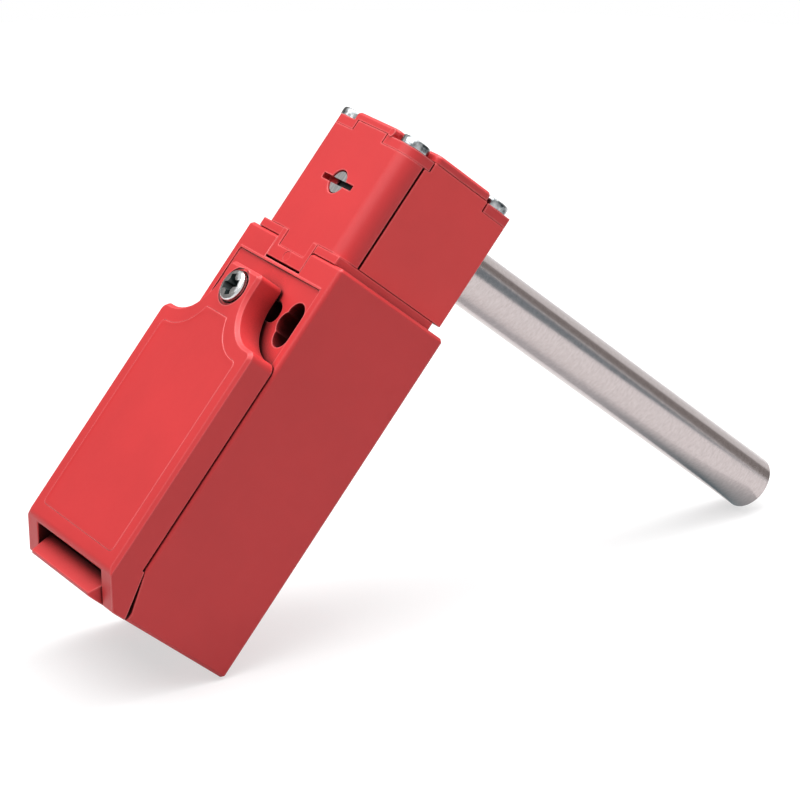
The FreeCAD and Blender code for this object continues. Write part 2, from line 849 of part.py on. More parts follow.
# Contact block, with its front plate
def make_contact_block():
    side = chamber_half - guide_gap
    inner = side - chamber_corner
    low = block_foot + chamber_corner
    high = chamber_top - chamber_corner
    corners = [
        (-inner, block_foot, 0),
        (inner, block_foot, 0),
        (side, low, 0),
        (side, high, 0),
        (inner, chamber_top, 0),
        (-inner, chamber_top, 0),
        (-side, high, 0),
        (-side, low, 0),
    ]
    block = slab_y(corners, block_front, block_rear)
    channel = carrier_width / 2 + slide_gap
    channel_rear = centre_y + carrier_depth / 2 + slide_gap
    channel_foot = block_foot + block_floor
    plate_half = plate_width / 2 + seat_gap
    plate_rear = block_front + plate_thickness
    front = block_front - overcut
    above = chamber_top + overcut
    half = bridge_length / 2 + room
    deep = bridge_width / 2 + room
    pocket = terminal_pocket / 2
    pocket_rear = plate_front - clamp_thickness + terminal_screw_length + room
    cuts = [
        box(-channel, channel, front, channel_rear, channel_foot, above),
        box(-plate_half, plate_half, front, plate_rear, channel_foot, above),
    ]
    for pole in poles:
        leg_edge = pole["leg"] + pole["side"] * strip / 2
        travel = cam_travel if pole["side"] > 0 else 0
        low = min(leg_edge, pole["far"] - travel - room)
        high = max(leg_edge, pole["far"] + room)
        cuts.append(flat_box(half, deep, low, high))
        leg_half = strip / 2 + seat_gap
        leg = slab_z(leg_corners(seat_gap), pole["leg"] - leg_half, pole["leg"] + leg_half)
        cuts.append(both_sides(leg))
        cuts.append(both_sides(box(terminal_x - pocket, terminal_x + pocket, front, pocket_rear,
                                   pole["z"] - pocket, pole["z"] + pocket)))
    return block.cut(cuts)


def make_contact_block_plate():
    half = plate_width / 2
    plate_rear = block_front + plate_thickness
    return box(-half, half, block_front, plate_rear, block_foot + block_floor, chamber_top)


# Contact carrier, with its bridges and springs
def make_contact_carrier():
    half = carrier_width / 2
    low = min(min(pole["near"], pole["spring_end"]) for pole in poles) - carrier_foot
    bar = flat_box(half, carrier_depth / 2, low, carrier_top)
    bar = bar.fuse(square_bar(stem_size, carrier_top, collar_top - collar_height))
    wide = half + overcut
    deep = carrier_window / 2
    return bar.cut([flat_box(wide, deep, pole["near"], pole["spring_end"]) for pole in poles])


def make_bridge(pole):
    strip_piece = flat_box(bridge_length / 2, bridge_width / 2, pole["near"], pole["far"])
    tip = contact_tip(pole["near"], pole["face"])
    return strip_piece.fuse([tip, mirrored(tip)])


def make_contact_springs():
    springs = []
    for pole in poles:
        z0 = min(pole["far"], pole["spring_end"])
        z1 = max(pole["far"], pole["spring_end"])
        springs.append(coil(contact_spring_mean, contact_spring_wire, z0, z1, contact_spring_turns))
    return Part.makeCompound(springs)


# Terminals, with their screws and clamp washers
def make_terminal(pole):
    """Terminal on the right side of a pole."""
    leg = slab_z(leg_corners(0), pole["leg"] - strip / 2, pole["leg"] + strip / 2)
    x0 = terminal_x - terminal_width / 2
    x1 = terminal_x + terminal_width / 2
    tall = terminal_height / 2
    plate = box(x0, x1, plate_front, block_front, pole["z"] - tall, pole["z"] + tall)
    thread = stud(terminal_screw_shank + 2 * seat_gap, -strip - overcut, overcut)
    hole = facing_front(thread, terminal_x, plate_front, pole["z"])
    return leg.fuse([plate, contact_tip(pole["fixed"], pole["leg"])]).cut(hole)


terminal_places = [(x, pole["z"]) for pole in poles for x in (-terminal_x, terminal_x)]


def make_terminal_screws():
    shank = stud(terminal_screw_shank, -terminal_screw_length, 0)
    screw = shank.fuse(stud(terminal_screw_head, 0, terminal_screw_height))
    seat = plate_front - clamp_thickness
    return Part.makeCompound([facing_front(screw, x, seat, z) for x, z in terminal_places])


def make_clamp_washers():
    half = clamp_size / 2
    plate = box(-half, half, -half, half, 0, clamp_thickness)
    washer = plate.cut(stud(terminal_screw_shank + 2 * seat_gap, -overcut, clamp_thickness + overcut))
    return Part.makeCompound([facing_front(washer, x, plate_front, z) for x, z in terminal_places])


pieces = {
    "housing": make_housing(),
    "front_cover": make_front_cover(),
    "cover_gasket": gasket_ring(0),
    "cover_screw": make_cover_screw(),
    "head_adapter": make_head_adapter(),
    "head_latch": make_head_latch(),
    "head_gasket": make_head_gasket(),
    "head_housing": make_head_housing(),
    "head_cap": make_head_cap(),
    "head_lid": make_head_lid(),
    "head_screws": make_head_screws(),
    "shaft": make_shaft(),
    "rear_bush": make_rear_bush(),
    "shaft_seal": make_shaft_seal(),
    "cam": make_cam(),
    "cam_pin": make_cam_pin(),
    "plunger": make_plunger(),
    "return_spring": make_return_spring(),
    "contact_block": make_contact_block(),
    "contact_block_plate": make_contact_block_plate(),
    "contact_carrier": make_contact_carrier(),
    "contact_springs": make_contact_springs(),
    "terminal_screws": make_terminal_screws(),
    "clamp_washers": make_clamp_washers(),
}
for pole in poles:
    left_name, right_name = pole["name"].split("_")
    pieces["bridge_" + pole["name"]] = make_bridge(pole)
    pieces["terminal_" + right_name] = make_terminal(pole)
    pieces["terminal_" + left_name] = mirrored(make_terminal(pole))

os.makedirs("parts", exist_ok=True)
for name, shape in pieces.items():
    shape.exportStep("parts/" + name + ".step")
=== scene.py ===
import bmesh
import bpy
import math
from mathutils import Matrix, Vector


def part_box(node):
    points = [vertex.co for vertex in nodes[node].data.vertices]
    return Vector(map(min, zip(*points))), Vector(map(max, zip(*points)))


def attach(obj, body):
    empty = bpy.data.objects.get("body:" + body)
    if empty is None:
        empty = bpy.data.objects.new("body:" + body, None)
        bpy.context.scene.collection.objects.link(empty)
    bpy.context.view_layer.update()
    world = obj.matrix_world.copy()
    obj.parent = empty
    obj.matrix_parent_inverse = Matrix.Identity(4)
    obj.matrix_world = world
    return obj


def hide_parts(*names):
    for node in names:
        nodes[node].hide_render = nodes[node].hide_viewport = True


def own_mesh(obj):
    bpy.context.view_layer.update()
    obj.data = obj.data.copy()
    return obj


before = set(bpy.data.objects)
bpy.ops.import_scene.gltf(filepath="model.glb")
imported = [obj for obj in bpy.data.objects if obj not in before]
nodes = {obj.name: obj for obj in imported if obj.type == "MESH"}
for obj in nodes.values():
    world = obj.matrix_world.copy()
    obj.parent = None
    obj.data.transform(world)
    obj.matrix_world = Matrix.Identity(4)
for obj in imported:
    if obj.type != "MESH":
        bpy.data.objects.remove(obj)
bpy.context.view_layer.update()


# Housing
# The long body is one injection moulding in glass-filled red plastic, open at the front, with a fine
# matt grain from the mould. Its foot has the threaded cable entry, and two screws through the holes
# near its top fix it to the machine.
def add_node(owner, kind, **values):
    """New node in the tree of a material or the world, with its inputs set by name."""
    made = owner.node_tree.nodes.new(kind)
    for socket, value in values.items():
        made.inputs[socket.replace("_", " ")].default_value = value
    return made


def connect(owner, source, output, target, socket):
    owner.node_tree.links.new(source.outputs[output], target.inputs[socket])


def shader_of(material):
    return material.node_tree.nodes["Principled BSDF"]


def new_finish(name, colour, roughness, metallic=0.0, specular=0.5):
    """Material with one shader, whose constant values sit on its own sockets."""
    material = bpy.data.materials.new(name)
    material.use_nodes = True
    shader = shader_of(material)
    shader.inputs["Base Color"].default_value = (*colour, 1)
    shader.inputs["Roughness"].default_value = roughness
    shader.inputs["Metallic"].default_value = metallic
    shader.inputs["Specular IOR Level"].default_value = specular
    return material


evenly = (1, 1, 1)


def speckle(material, cells, detail, stretch):
    """Noise on the piece's own place, in cells per metre, drawn out along an axis by stretch."""
    place = add_node(material, "ShaderNodeTexCoord")
    drawn = add_node(material, "ShaderNodeMapping", Scale=stretch)
    noise = add_node(material, "ShaderNodeTexNoise", Scale=cells, Detail=detail)
    connect(material, place, "Object", drawn, "Vector")
    connect(material, drawn, "Vector", noise, "Vector")
    return noise


def vary_colour(material, cells, light, dark, detail=2, stretch=evenly):
    """Mottles the colour between two shades."""
    ramp = add_node(material, "ShaderNodeValToRGB")
    first, last = ramp.color_ramp.elements
    first.position = 0.3
    first.color = (*dark, 1)
    last.position = 0.7
    last.color = (*light, 1)
    connect(material, speckle(material, cells, detail, stretch), "Fac", ramp, "Fac")
    connect(material, ramp, "Color", shader_of(material), "Base Color")


def vary_roughness(material, cells, low, high, detail=2, stretch=evenly):
    """Makes some spots shinier than others."""
    spread = add_node(material, "ShaderNodeMapRange", To_Min=low, To_Max=high)
    connect(material, speckle(material, cells, detail, stretch), "Fac", spread, "Value")
    connect(material, spread, "Result", shader_of(material), "Roughness")


def raise_grain(material, cells, depth, strength, detail=2, stretch=evenly):
    """Gives the surface a fine relief."""
    bump = add_node(material, "ShaderNodeBump", Distance=depth, Strength=strength)
    connect(material, speckle(material, cells, detail, stretch), "Fac", bump, "Height")
    connect(material, bump, "Normal", shader_of(material), "Normal")


def colour_mix(material, kind):
    """New mix of two colours, as the sockets of its factor, lower colour, upper colour and result."""
    mix = add_node(material, "ShaderNodeMix")
    mix.data_type = "RGBA"
    mix.blend_type = kind
    below, above = [socket for socket in mix.inputs if socket.type == "RGBA"]
    result = [socket for socket in mix.outputs if socket.type == "RGBA"][0]
    return mix.inputs["Factor"], below, above, result


def tint(material, kind):
    """Puts a mix between a mottled colour and the shader, and gives its factor and upper colour."""
    links = material.node_tree.links
    colour = shader_of(material).inputs["Base Color"]
    factor, below, above, result = colour_mix(material, kind)
    factor.default_value = 1.0
    links.new(colour.links[0].from_socket, below)
    links.new(result, colour)
    return factor, above


def paint_gap_shade(material, reach, darkest, shut_at=0.38, open_at=0.75):
    """Paints shade into the colour of slots and seams narrower than reach, where hardly any light gets in."""
    factor, above = tint(material, "MULTIPLY")
    open_sky = add_node(material, "ShaderNodeAmbientOcclusion", Distance=reach)
    open_sky.samples = 8
    shade = add_node(material, "ShaderNodeMapRange", From_Min=shut_at, From_Max=open_at, To_Min=darkest)
    connect(material, open_sky, "AO", shade, "Value")
    material.node_tree.links.new(shade.outputs["Result"], above)


def paint_edge_highlights(material, width, pale, most, flat=0.996, turned=0.9):
    """Lightens the colour along edges as a painted highlight, where rounded edges would catch the light."""
    factor, above = tint(material, "MIX")
    above.default_value = (*pale, 1)
    rounded = add_node(material, "ShaderNodeBevel", Radius=width)
    rounded.samples = 8
    face = add_node(material, "ShaderNodeNewGeometry")
    likeness = add_node(material, "ShaderNodeVectorMath")
    likeness.operation = "DOT_PRODUCT"
    connect(material, rounded, "Normal", likeness, 0)
    connect(material, face, "Normal", likeness, 1)
    highlit = add_node(material, "ShaderNodeMapRange", From_Min=flat, From_Max=turned, To_Max=most)
    connect(material, likeness, "Value", highlit, "Value")
    material.node_tree.links.new(highlit.outputs["Result"], factor)


def moulded_red(name, red, darkest):
    """Matt red plastic with painted highlights along its edges, and with painted shade in its seams that goes
    down to the darkest share of its colour.
    """
    material = new_finish(name, red, roughness=0.42, specular=0.4)
    vary_colour(material, cells=70, light=[1.03 * c for c in red], dark=[0.95 * c for c in red], detail=3)
    vary_roughness(material, cells=900, low=0.36, high=0.48, detail=3)
    raise_grain(material, cells=5200, depth=0.00003, strength=0.22)
    paint_edge_highlights(material, width=0.0005, pale=(0.90, 0.20, 0.20), most=0.85)
    paint_gap_shade(material, reach=0.010, darkest=darkest, open_at=0.66)
    return material


plain_red = (0.71, 0.046, 0.049)
red_plastic = moulded_red("red_plastic", plain_red, darkest=0.05)
weld_distance = 2e-6


def merged_copy(node):
    """Copy of a CAD node's mesh, with its loose triangles joined into flat faces."""
    bm = bmesh.new()
    bm.from_mesh(nodes[node].data)
    bmesh.ops.remove_doubles(bm, verts=bm.verts, dist=weld_distance)
    bmesh.ops.dissolve_limit(bm, angle_limit=math.radians(1), verts=bm.verts, edges=bm.edges)
    return bm


def nearest(point, start, end):
    """The place on a straight line that is nearest to a point."""
    along = end - start
    return start + along * max(0.0, min(1.0, (point - start).dot(along) / along.length_squared))


def room_beside(edge, sharp, facing=0.6, touching=1e-7):
    """Least distance across the faces of an edge to another sharp edge that lies in front of it."""
    room = 1.0
    for loop in edge.link_loops:
        a, b = loop.vert.co, loop.link_loop_next.vert.co
        inward = loop.face.normal.cross((b - a).normalized())
        for other in loop.face.edges:
            if other is edge or other not in sharp:
                continue
            c, d = (v.co for v in other.verts)
            spans = [point - nearest(point, a, b) for point in (c, d, (c + d) / 2)]
            spans += [nearest(point, c, d) - point for point in (a, b, (a + b) / 2)]
            for across in spans:
                if across.length > touching and across.dot(inward) > facing * across.length:
                    room = min(room, across.length)
    return room


def fit_rounding(bm, radius, least_angle=25, room_parts=2.4, straight_on=-0.75):
    """Weighs each sharp edge so that its rounding fits the room beside it, evenly along each run of edges."""
    weight = bm.edges.layers.float.new("bevel_weight_edge")
    bm.normal_update()
    sharp = {e for e in bm.edges if e.is_manifold and e.calc_face_angle() > math.radians(least_angle)}
    width = {e: min(radius, room_beside(e, sharp) / room_parts) for e in sharp}
    left = set(sharp)
    while left:
        run = set()
        ahead = [left.pop()]
        while ahead:
            edge = ahead.pop()
            run.add(edge)
            for vert in edge.verts:
                back = (edge.other_vert(vert).co - vert.co).normalized()
                for other in vert.link_edges:
                    onward = (other.other_vert(vert).co - vert.co).normalized()
                    if other in left and back.dot(onward) < straight_on:
                        left.discard(other)
                        ahead.append(other)
        least = min(width[e] for e in run)
        for edge in run:
            edge[weight] = least / radius


def new_piece(bm, name, material):
    mesh = bpy.data.meshes.new(name)
    bm.to_mesh(mesh)
    bm.free()
    mesh.materials.append(material)
    piece = bpy.data.objects.new(name, mesh)
    bpy.context.scene.collection.objects.link(piece)
    return piece


def bake(piece):
    """Turns a piece's modifiers into its mesh."""
    bpy.context.view_layer.update()
    mesh = bpy.data.meshes.new_from_object(piece.evaluated_get(bpy.context.evaluated_depsgraph_get()))
    piece.modifiers.clear()
    old = piece.data
    piece.data = mesh
    bpy.data.meshes.remove(old)
    mesh.name = piece.name


def moulding(node, radius, material):
    """Copy of a CAD node with rounded edges, none of it outside the node's own box."""
    bm = merged_copy(node)
    fit_rounding(bm, radius)
    piece = new_piece(bm, node + "_moulding", material)
    edges = piece.modifiers.new("rounding", "BEVEL")
    edges.limit_method = "WEIGHT"
    edges.offset_type = "OFFSET"
    edges.affect = "EDGES"
    edges.width = radius
    edges.segments = 3
    edges.profile = 0.5
    edges.material = -1
    edges.use_clamp_overlap = False
    edges.loop_slide = False
    bake(piece)
    low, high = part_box(node)
    for vert in piece.data.vertices:
        vert.co = [min(max(here, least), most) for here, least, most in zip(vert.co, low, high)]
    return piece


body_rounding = 0.0003
housing = moulding("housing", body_rounding, red_plastic)


def shape_with(piece, tool_bm, operation, lining=None):
    """Cuts a closed bmesh out of a piece's mesh or joins it on, and can give the new faces a finish."""
    tool = new_piece(tool_bm, "shaping_tool", lining or piece.data.materials[0])
    change = piece.modifiers.new("shaping", "BOOLEAN")
    change.operation = operation
    change.solver = "EXACT"
    change.object = tool
    if lining:
        change.material_mode = "TRANSFER"
    bake(piece)
    tool_mesh = tool.data
    bpy.data.objects.remove(tool)
    bpy.data.meshes.remove(tool_mesh)


def wind(bm, centre_y, pitch, turns, turn_steps):
    """Winds a section upwards round an upright line and closes its ends."""
    bmesh.ops.spin(bm, geom=bm.verts[:] + bm.edges[:], cent=(0, centre_y, 0), axis=(0, 0, 1),
                   dvec=(0, 0, pitch / turn_steps), angle=2 * math.pi * turns, steps=turn_steps * turns)
    bmesh.ops.holes_fill(bm, edges=[e for e in bm.edges if e.is_boundary], sides=0)
    bmesh.ops.recalc_face_normals(bm, faces=bm.faces)


# The cable entry is in line with the plunger, and its thread is one groove wound up its bore.
body_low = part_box("housing")[0]
plunger_low, plunger_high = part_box("plunger")
entry_y = (plunger_low.y + plunger_high.y) / 2
entry_radius = 0.00925
thread_pitch = 0.0015
thread_depth = 0.00065
thread_turns = 8
thread_steps = 48
groove_inset = 0.0004
groove_half = 0.0007
groove_foot = body_low.z - thread_pitch
groove = bmesh.new()
corners = [groove.verts.new((entry_radius - groove_inset, entry_y, groove_foot - groove_half)),
           groove.verts.new((entry_radius + thread_depth, entry_y, groove_foot)),
           groove.verts.new((entry_radius - groove_inset, entry_y, groove_foot + groove_half))]
for i in range(len(corners)):
    groove.edges.new((corners[i], corners[i - 1]))
wind(groove, entry_y, thread_pitch, thread_turns, thread_steps)
shape_with(housing, groove, "DIFFERENCE")


def bar(low, high, rounding):
    """Straight bar between two corners, with rounded edges."""
    bm = bmesh.new()
    bmesh.ops.create_cube(bm, size=1.0)
    bmesh.ops.scale(bm, verts=bm.verts, vec=Vector(high) - Vector(low))
    bmesh.ops.translate(bm, verts=bm.verts, vec=(Vector(high) + Vector(low)) / 2)
    bmesh.ops.bevel(bm, geom=bm.edges[:], offset=rounding, offset_type="OFFSET", affect="EDGES",
                    segments=3, profile=0.5, material=-1)
    return bm


# A thin lip crosses the front below the adapter's tongue.
body_front = -0.0249
lip_foot = 0.0074
lip_top = 0.0078
lip_half = 0.0136
lip_proud = 0.0001
lip_root = 0.0006
lip_rounding = 0.00009
lip = bar((-lip_half, body_front - lip_proud, lip_foot), (lip_half, body_front + lip_root, lip_top),
          lip_rounding)
shape_with(housing, lip, "UNION")

# A shelf narrows the slot of the head's latch.
shelf_top = 0.00805
shelf_half = 0.0057
shelf_set_back = 0.0001
shelf_back = -0.0226
shelf_rounding = 0.0001
shelf = bar((-shelf_half, body_front + shelf_set_back, lip_foot), (shelf_half, shelf_back, shelf_top),
            shelf_rounding)
shape_with(housing, shelf, "UNION")


def smooth(piece, angle=35):
    """Smooth shading across gentle bends, with flat faces kept flat."""
    piece.data.shade_smooth()
    piece.data.set_sharp_from_angle(angle=math.radians(angle))
    weighted = piece.modifiers.new("flat_faces", "WEIGHTED_NORMAL")
    weighted.keep_sharp = True


def stand_for(piece, node, body):
    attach(piece, body)
    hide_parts(node)


smooth(housing)
stand_for(housing, "housing", "body")


# Contact block
# A black moulded insulating block fills the housing's chamber. It holds the fixed contacts in slots and
# guides the carrier between them, and a plate let into its front closes the carrier's channel.
black_plastic = new_finish("black_plastic", (0.02, 0.02, 0.022), roughness=0.5)
vary_colour(black_plastic, cells=250, light=(0.026, 0.026, 0.028), dark=(0.015, 0.015, 0.017))
vary_roughness(black_plastic, cells=900, low=0.42, high=0.58)
raise_grain(black_plastic, cells=4000, depth=0.00003, strength=0.3)


def dress(node, material):
    """Gives a CAD node that keeps its shape its finish."""
    slots = nodes[node].data.materials
    slots.clear()
    slots.append(material)


for inner in ("contact_block", "contact_block_plate"):
    dress(inner, black_plastic)


# Terminals and contact bridges
# Stamped and bent brass strip with raised contact tips. The terminals are pressed into the block, and
# the bridges ride in the carrier's windows.
along_strip = (1, 0.1, 1)
contact_brass = new_finish("contact_brass", (0.72, 0.52, 0.22), roughness=0.28, metallic=1.0)
vary_colour(contact_brass, cells=400, light=(0.76, 0.56, 0.25), dark=(0.62, 0.44, 0.18))
vary_roughness(contact_brass, cells=2500, low=0.2, high=0.36, stretch=along_strip)
raise_grain(contact_brass, cells=3000, depth=0.00002, strength=0.15, stretch=along_strip)
for pole in ("11_12", "21_22", "33_34"):
    dress("bridge_" + pole, contact_brass)
    for number in pole.split("_"):
        dress("terminal_" + number, contact_brass)


# Terminal screws and clamp washers
# Zinc-plated steel screws with square pressure plates under their heads, which clamp the wires to the
# terminals.
terminal_steel = new_finish("terminal_steel", (0.62, 0.62, 0.64), roughness=0.3, metallic=1.0)
vary_colour(terminal_steel, cells=600, light=(0.66, 0.66, 0.68), dark=(0.56, 0.56, 0.58))
vary_roughness(terminal_steel, cells=1800, low=0.22, high=0.4)
raise_grain(terminal_steel, cells=2200, depth=0.00002, strength=0.2)
for inner in ("terminal_screws", "clamp_washers"):
    dress(inner, terminal_steel)


# Contact carrier and plunger
# White low-friction mouldings. The plunger runs in the neck of the head, and it pushes the carrier down
# as the cam turns.
white_plastic = new_finish("white_plastic", (0.78, 0.77, 0.72), roughness=0.4)
vary_colour(white_plastic, cells=200, light=(0.80, 0.79, 0.75), dark=(0.74, 0.73, 0.68))
vary_roughness(white_plastic, cells=900, low=0.32, high=0.46)
raise_grain(white_plastic, cells=4500, depth=0.00002, strength=0.2)
for inner in ("contact_carrier", "plunger"):
    dress(inner, white_plastic)


# Springs
# Coiled from drawn spring steel. One lifts the plunger, which presses it together on its way down, and a
# small one presses each contact bridge.
spring_steel = new_finish("spring_steel", (0.55, 0.55, 0.57), roughness=0.32, metallic=1.0)
vary_colour(spring_steel, cells=900, light=(0.60, 0.60, 0.62), dark=(0.48, 0.48, 0.50))
vary_roughness(spring_steel, cells=3000, low=0.25, high=0.4)
raise_grain(spring_steel, cells=6000, depth=0.00001, strength=0.2)
dress("contact_springs", spring_steel)


def rotate(bm, degrees, axis):
    matrix = Matrix.Rotation(math.radians(degrees), 3, axis)
    bmesh.ops.rotate(bm, verts=bm.verts, cent=(0, 0, 0), matrix=matrix)


spring_low, spring_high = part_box("return_spring")
spring_y = (spring_low.y + spring_high.y) / 2
wire_radius = 0.0004
wire_sides = 12
spring_turns = 4
coil_steps = 40
coil_bend = 50
spring_pitch = (spring_high.z - spring_low.z - 2 * wire_radius) / spring_turns
wire_start = (spring_high.x - wire_radius, spring_y, spring_low.z + wire_radius)
coil = bmesh.new()
bmesh.ops.create_circle(coil, cap_ends=False, segments=wire_sides, radius=wire_radius)
rotate(coil, 90, "X")
bmesh.ops.translate(coil, verts=coil.verts, vec=wire_start)
wind(coil, spring_y, spring_pitch, spring_turns, coil_steps)
return_spring = new_piece(coil, "return_coil", spring_steel)
return_spring.data.shade_smooth()
return_spring.data.set_sharp_from_angle(angle=math.radians(coil_bend))
stand_for(return_spring, "return_spring", "body")
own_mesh(return_spring)


# Gaskets and shaft seal
# Moulded black rubber: a frame in a groove of the cover's rim, a square pad under the head's neck, and a
# ring round the shaft.
black_rubber = new_finish("black_rubber", (0.016, 0.016, 0.017), roughness=0.7)
vary_colour(black_rubber, cells=500, light=(0.020, 0.020, 0.021), dark=(0.012, 0.012, 0.013))
vary_roughness(black_rubber, cells=1500, low=0.6, high=0.8)
raise_grain(black_rubber, cells=5000, depth=0.00003, strength=0.3)
for inner in ("cover_gasket", "head_gasket", "shaft_seal"):
    dress(inner, black_rubber)


# Head latch
# A stamped steel plate that slides in the slot under the adapter's tongue and locks the head's neck in the
# body. It is coloured near black, as painted shade for the dark slot that it lies in.
latch_slot_shade = new_finish("latch_slot_shade", (0.02, 0.02, 0.022), roughness=0.5, metallic=0.6)
vary_colour(latch_slot_shade, cells=900, light=(0.026, 0.026, 0.03), dark=(0.014, 0.014, 0.016))
vary_roughness(latch_slot_shade, cells=2000, low=0.42, high=0.6)
raise_grain(latch_slot_shade, cells=4000, depth=0.00002, strength=0.25)
dress("head_latch", latch_slot_shade)


# Head housing, adapter plate, cap and lid
# Four mouldings in red plastic, the head housing's a shade lighter. The adapter plate lies between body
# and head, the cap closes the head's front and its lid the top, held down by four screws.
wide_rounding = 0.00016
fine_rounding = 0.0001
head_red = (0.88, 0.064, 0.064)
# Each moulding gets its own copy of its red, and the copies differ in how far the painted shade in their
# seams goes down: deepest on the head housing, then adapter, cap and lid.
head_mouldings = {"head_adapter": (wide_rounding, moulded_red("adapter_red", plain_red, darkest=0.45)),
                  "head_housing": (wide_rounding, moulded_red("head_red", head_red, darkest=0.05)),
                  "head_cap": (fine_rounding, moulded_red("cap_red", plain_red, darkest=0.7)),
                  "head_lid": (fine_rounding, moulded_red("lid_red", plain_red, darkest=0.9))}
shells = {node: moulding(node, rounding, red) for node, (rounding, red) in head_mouldings.items()}


def pin_mark(shell, place, radius, depth, operation):
    """Dimple or pip that a pin of the mould leaves on the front of a shell."""
    mark = bmesh.new()
    bmesh.ops.create_cone(mark, cap_ends=True, segments=32, radius1=radius, radius2=radius, depth=depth)
    rotate(mark, 90, "X")
    bmesh.ops.translate(mark, verts=mark.verts, vec=place)
    shape_with(shell, mark, operation)


pin_mark(shells["head_adapter"], place=(-0.0002, body_front, 0.0097), radius=0.0009, depth=0.00012,
         operation="DIFFERENCE")
pin_mark(shells["head_lid"], place=(0.0059, -0.0240, 0.03575), radius=0.00075, depth=0.0018,
         operation="UNION")
for node, shell in shells.items():
    smooth(shell)
    stand_for(shell, node, "body")


# Shaft
# A ground stainless steel bar that turns in the head and carries the door's hinge. Its slotted front end
# is the round spot in the cap, and its rear end is chamfered.
along_shaft = (0.4, 1, 0.4)
stainless = new_finish("stainless", (0.53, 0.47, 0.465), roughness=0.16, metallic=1.0)
vary_colour(stainless, cells=2600, light=(0.52, 0.462, 0.457), dark=(0.455, 0.403, 0.398), detail=3,
            stretch=(0.45, 1, 0.45))
vary_roughness(stainless, cells=2200, low=0.14, high=0.26, detail=3, stretch=along_shaft)
raise_grain(stainless, cells=3200, depth=0.00002, strength=0.12, detail=3, stretch=along_shaft)
# Painted shade in the slots and gaps round the shaft and the cam pin.
paint_gap_shade(stainless, reach=0.0025, darkest=0.06)
dress("cam_pin", stainless)


def turned_solid(outline, centre, axis, steps):
    """Closed solid made by turning an outline once round an axis."""
    bm = bmesh.new()
    points = [bm.verts.new(point) for point in outline]
    edges = [bm.edges.new(pair) for pair in zip(points, points[1:])]
    bmesh.ops.spin(bm, geom=points + edges, cent=centre, axis=axis, angle=2 * math.pi, steps=steps,
                   use_merge=True)
    bmesh.ops.remove_doubles(bm, verts=bm.verts, dist=weld_distance)
    bmesh.ops.recalc_face_normals(bm, faces=bm.faces)
    return bm


shaft_low, shaft_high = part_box("shaft")
shaft_axis = (shaft_low.z + shaft_high.z) / 2
shaft_radius = (shaft_high.z - shaft_low.z) / 2
stub_radius = 0.00217
stub_end = -0.0226
stub_chamfer = 0.0002
journal_radius = 0.004
shoulder = 0.0001
end_chamfer = 0.0005
shaft_steps = 96
shaft_bend = 30
shaft_line = [(0, shaft_low.y), (stub_radius - stub_chamfer, shaft_low.y),
              (stub_radius, shaft_low.y + stub_chamfer), (stub_radius, stub_end),
              (journal_radius, stub_end), (journal_radius, shoulder), (shaft_radius, shoulder),
              (shaft_radius, shaft_high.y - end_chamfer), (shaft_radius - end_chamfer, shaft_high.y),
              (0, shaft_high.y)]
shaft_outline = [(0, y, shaft_axis + r) for r, y in shaft_line]
shaft_bm = turned_solid(shaft_outline, (0, 0, shaft_axis), (0, 1, 0), shaft_steps)
shaft = new_piece(shaft_bm, "hinge_shaft", stainless)

# A slot crosses the front end, which is faced bright.
# Painted shade: a near-black finish for the faces cut by the shaft's slot and the screws' cross recesses,
# where little light gets in.
slot_shade = new_finish("slot_shade", (0.012, 0.02, 0.021), roughness=0.45)
vary_colour(slot_shade, cells=1500, light=(0.020, 0.034, 0.035), dark=(0.005, 0.009, 0.009))
vary_roughness(slot_shade, cells=2500, low=0.3, high=0.55)
raise_grain(slot_shade, cells=3000, depth=0.00002, strength=0.2)
slot_width = 0.001
slot_depth = 0.0018
stub_slot = bmesh.new()
bmesh.ops.create_cube(stub_slot, size=1.0)
bmesh.ops.scale(stub_slot, verts=stub_slot.verts, vec=(4 * stub_radius, 2 * slot_depth, slot_width))
bmesh.ops.translate(stub_slot, verts=stub_slot.verts, vec=(0, shaft_low.y, shaft_axis))
shape_with(shaft, stub_slot, "DIFFERENCE", slot_shade)

along_facing = (1, 1, 0.1)
faced_steel = new_finish("faced_steel", (0.62, 0.63, 0.63), roughness=0.3, metallic=1.0)
vary_colour(faced_steel, cells=1800, light=(0.74, 0.75, 0.75), dark=(0.42, 0.43, 0.43), stretch=along_facing)
vary_roughness(faced_steel, cells=2400, low=0.2, high=0.4, stretch=along_facing)
raise_grain(faced_steel, cells=3000, depth=0.00002, strength=0.3, stretch=along_facing)
frontward = -0.99
shaft.data.materials.append(faced_steel)
for face in shaft.data.polygons:
    if face.normal.y < frontward and face.center.y < shaft_low.y + stub_chamfer:
        face.material_index = len(shaft.data.materials) - 1
smooth(shaft, shaft_bend)
stand_for(shaft, "shaft", "shaft")


# Cam and bush
# The cam is ground from steel and pinned to the shaft. The shaft runs in a sintered bronze bush in the
# head's rear wall.
cam_steel = new_finish("cam_steel", (0.42, 0.42, 0.43), roughness=0.35, metallic=1.0)
vary_colour(cam_steel, cells=700, light=(0.46, 0.46, 0.47), dark=(0.37, 0.37, 0.38), detail=3)
vary_roughness(cam_steel, cells=1500, low=0.28, high=0.45, detail=3)
raise_grain(cam_steel, cells=3000, depth=0.00002, strength=0.2)
dress("cam", cam_steel)
bush_bronze = new_finish("bush_bronze", (0.45, 0.28, 0.13), roughness=0.45, metallic=1.0)
vary_colour(bush_bronze, cells=3000, light=(0.50, 0.32, 0.15), dark=(0.36, 0.22, 0.10))
vary_roughness(bush_bronze, cells=2000, low=0.38, high=0.55)
raise_grain(bush_bronze, cells=5000, depth=0.00003, strength=0.3)
dress("rear_bush", bush_bronze)


